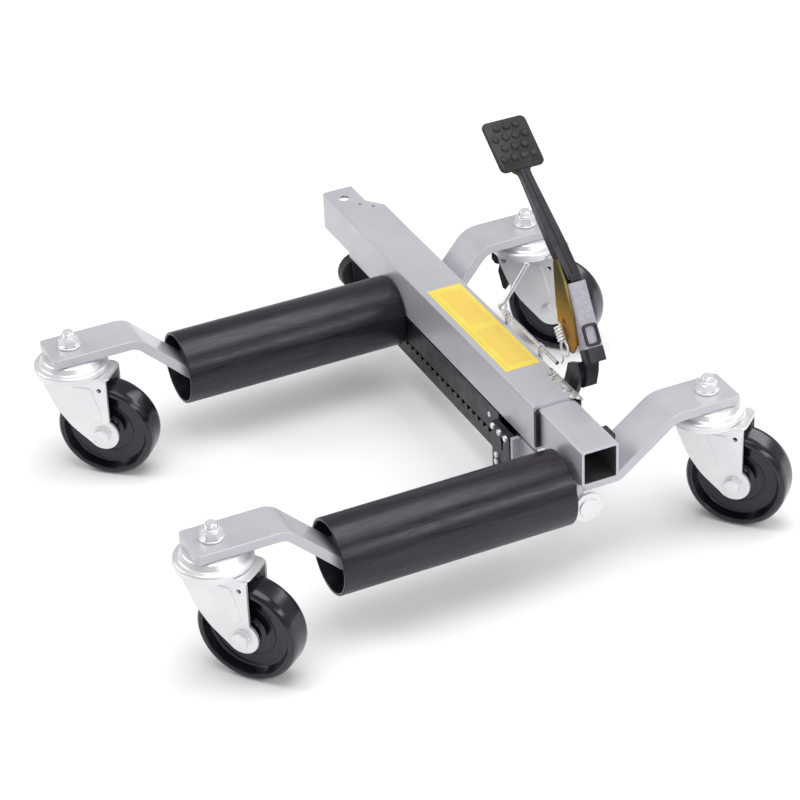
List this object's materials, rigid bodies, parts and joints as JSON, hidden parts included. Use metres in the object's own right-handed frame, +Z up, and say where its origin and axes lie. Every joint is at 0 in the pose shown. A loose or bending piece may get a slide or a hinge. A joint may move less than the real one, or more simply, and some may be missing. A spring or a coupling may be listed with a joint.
{
  "type": "wheel dolly",
  "caption": "Foot-operated vehicle wheel dolly: two rollers on swivel casters, drawn together along a telescoping square tube by a ratchet pedal.",
  "frame": {"origin": "bottom centre of the whole dolly's box, on the floor", "axes": "+X along the cross tube towards the sliding arm, +Y from the open fork mouth towards the pedal, +Z up"},
  "size_m": [0.6292, 0.6211, 0.3462],
  "materials": {
    "silver_paint": "satin silver grey enamel",
    "black_roller": "gloss black powder coat",
    "black_paint": "semi-gloss black",
    "zinc_plated": "bright zinc plate",
    "bright_steel": "drawn steel",
    "hard_steel": "hardened dark steel",
    "yellow_zinc": "yellow chromate zinc",
    "socket_grey": "worn grey paint",
    "wheel_plastic": "moulded black nylon",
    "nylon_black": "matt nylon",
    "black_rubber": "moulded rubber",
    "yellow_label": "printed vinyl, blank bands"
  },
  "bodies": {
    "frame": {"buffer_bracket": "black_paint", "end_buffer": "black_rubber", "far_axle": "bright_steel", "far_axle_plate": "silver_paint", "far_front_arm": "silver_paint", "far_kingpins": "zinc_plated", "far_rear_arm": "silver_paint", "far_top_races": "zinc_plated", "hold_pawl_pin": "bright_steel", "mouth_pads": "nylon_black", "outer_tube": "silver_paint", "pedal_bracket": "black_paint", "pedal_pivot_bolt": "zinc_plated", "rack_guide": "black_paint", "rod_clips": "bright_steel", "top_label": "yellow_label"},
    "sliding_arm": {"inner_tube": "silver_paint", "near_front_arm": "silver_paint", "near_rear_arm": "silver_paint", "near_axle": "bright_steel", "near_axle_plate": "silver_paint", "near_kingpins": "zinc_plated", "near_top_races": "zinc_plated", "rack": "black_paint", "tie_plate": "silver_paint", "rack_end_bracket": "black_paint", "arm_hardware": "zinc_plated", "slide_stop": "nylon_black"},
    "near_roller": {"near_roller": "black_roller", "near_roller_bushes": "nylon_black"},
    "far_roller": {"far_roller": "black_roller", "far_roller_bushes": "nylon_black"},
    "pedal": {"pedal_lever": "black_paint", "pedal_pad": "black_rubber", "pedal_socket": "socket_grey", "pedal_base": "black_paint", "latch_plate": "yellow_zinc", "lock_ring": "black_paint", "pawl_pin": "bright_steel", "return_spring": "bright_steel"},
    "drive_pawl": {"drive_pawl": "hard_steel"},
    "holding_pawl": {"holding_pawl": "hard_steel"},
    "release_rod": {"release_rod": "bright_steel"},
    "caster_brake": {"brake_lever": "black_paint"},
    "near_front_swivel": {"near_front_fork": "zinc_plated", "near_front_wheel_bolt": "zinc_plated"},
    "near_front_wheel": {"near_front_wheel": "wheel_plastic", "near_front_hub_bush": "bright_steel"},
    "far_front_swivel": {"far_front_fork": "zinc_plated", "far_front_wheel_bolt": "zinc_plated"},
    "far_front_wheel": {"far_front_wheel": "wheel_plastic", "far_front_hub_bush": "bright_steel"},
    "near_rear_swivel": {"near_rear_fork": "zinc_plated", "near_rear_wheel_bolt": "zinc_plated"},
    "near_rear_wheel": {"near_rear_wheel": "wheel_plastic", "near_rear_hub_bush": "bright_steel"},
    "far_rear_swivel": {"far_rear_fork": "zinc_plated", "far_rear_wheel_bolt": "zinc_plated"},
    "far_rear_wheel": {"far_rear_wheel": "wheel_plastic", "far_rear_hub_bush": "bright_steel"}
  },
  "joints": [
    {"name": "arm_slide", "type": "slide", "parent": "frame", "child": "sliding_arm", "axis": [1, 0, 0], "range_m": [0, 0.168]},
    {"name": "near_roller_spin", "type": "hinge", "parent": "sliding_arm", "child": "near_roller", "pos_m": [0.2404, -0.03955, 0.0803], "axis": [0, 1, 0], "continuous": true},
    {"name": "far_roller_spin", "type": "hinge", "parent": "frame", "child": "far_roller", "pos_m": [-0.1396, -0.03955, 0.0803], "axis": [0, 1, 0], "continuous": true},
    {"name": "pedal_push", "type": "hinge", "parent": "frame", "child": "pedal", "pos_m": [0.1484, 0.14245, 0.062], "axis": [0, -1, 0], "range_deg": [0, 35], "stiffness_Nm_per_rad": 4, "springref_deg": -28.65},
    {"name": "drive_pawl_lift", "type": "hinge", "parent": "pedal", "child": "drive_pawl", "pos_m": [0.1484, 0.09845, 0.079], "axis": [0, 1, 0], "range_deg": [0, 45]},
    {"name": "release_turn", "type": "hinge", "parent": "frame", "child": "release_rod", "pos_m": [0.0804, 0.13645, 0.147], "axis": [-1, 0, 0], "range_deg": [0, 30], "stiffness_Nm_per_rad": 0.15, "springref_deg": -17.19},
    {"name": "holding_pawl_lift", "type": "hinge", "parent": "frame", "child": "holding_pawl", "pos_m": [0.0864, 0.09945, 0.075], "axis": [0, 1, 0], "range_deg": [0, 25]},
    {"name": "near_front_swivel_turn", "type": "hinge", "parent": "sliding_arm", "child": "near_front_swivel", "pos_m": [0.2404, -0.27255, 0.11], "axis": [0, 0, 1], "continuous": true},
    {"name": "near_front_wheel_spin", "type": "hinge", "parent": "near_front_swivel", "child": "near_front_wheel", "pos_m": [0.26756, -0.25048, 0.051], "axis": [0.6307, -0.776, 0], "continuous": true},
    {"name": "far_front_swivel_turn", "type": "hinge", "parent": "frame", "child": "far_front_swivel", "pos_m": [-0.1396, -0.27255, 0.11], "axis": [0, 0, 1], "continuous": true},
    {"name": "far_front_wheel_spin", "type": "hinge", "parent": "far_front_swivel", "child": "far_front_wheel", "pos_m": [-0.11659, -0.24618, 0.051], "axis": [0.7536, -0.6574, 0], "continuous": true},
    {"name": "near_rear_swivel_turn", "type": "hinge", "parent": "sliding_arm", "child": "near_rear_swivel", "pos_m": [0.2404, 0.24445, 0.11], "axis": [0, 0, 1], "continuous": true},
    {"name": "near_rear_wheel_spin", "type": "hinge", "parent": "near_rear_swivel", "child": "near_rear_wheel", "pos_m": [0.26669, 0.26755, 0.051], "axis": [0.66, -0.7513, 0], "continuous": true},
    {"name": "far_rear_swivel_turn", "type": "hinge", "parent": "frame", "child": "far_rear_swivel", "pos_m": [-0.1396, 0.24445, 0.11], "axis": [0, 0, 1], "continuous": true},
    {"name": "far_rear_wheel_spin", "type": "hinge", "parent": "far_rear_swivel", "child": "far_rear_wheel", "pos_m": [-0.11279, 0.26695, 0.051], "axis": [0.6428, -0.766, 0], "continuous": true},
    {"name": "brake_press", "type": "hinge", "parent": "far_rear_swivel", "child": "caster_brake", "pos_m": [-0.15262, 0.23352, 0.102], "axis": [0.6428, -0.766, 0], "range_deg": [0, 4], "stiffness_Nm_per_rad": 0.3, "springref_deg": -17.19}
  ],
  "couplings": [
    {"joint": "drive_pawl_lift", "follows": "pedal_push", "ratio": 1.25},
    {"joint": "holding_pawl_lift", "follows": "release_turn", "ratio": 0.8}
  ]
}
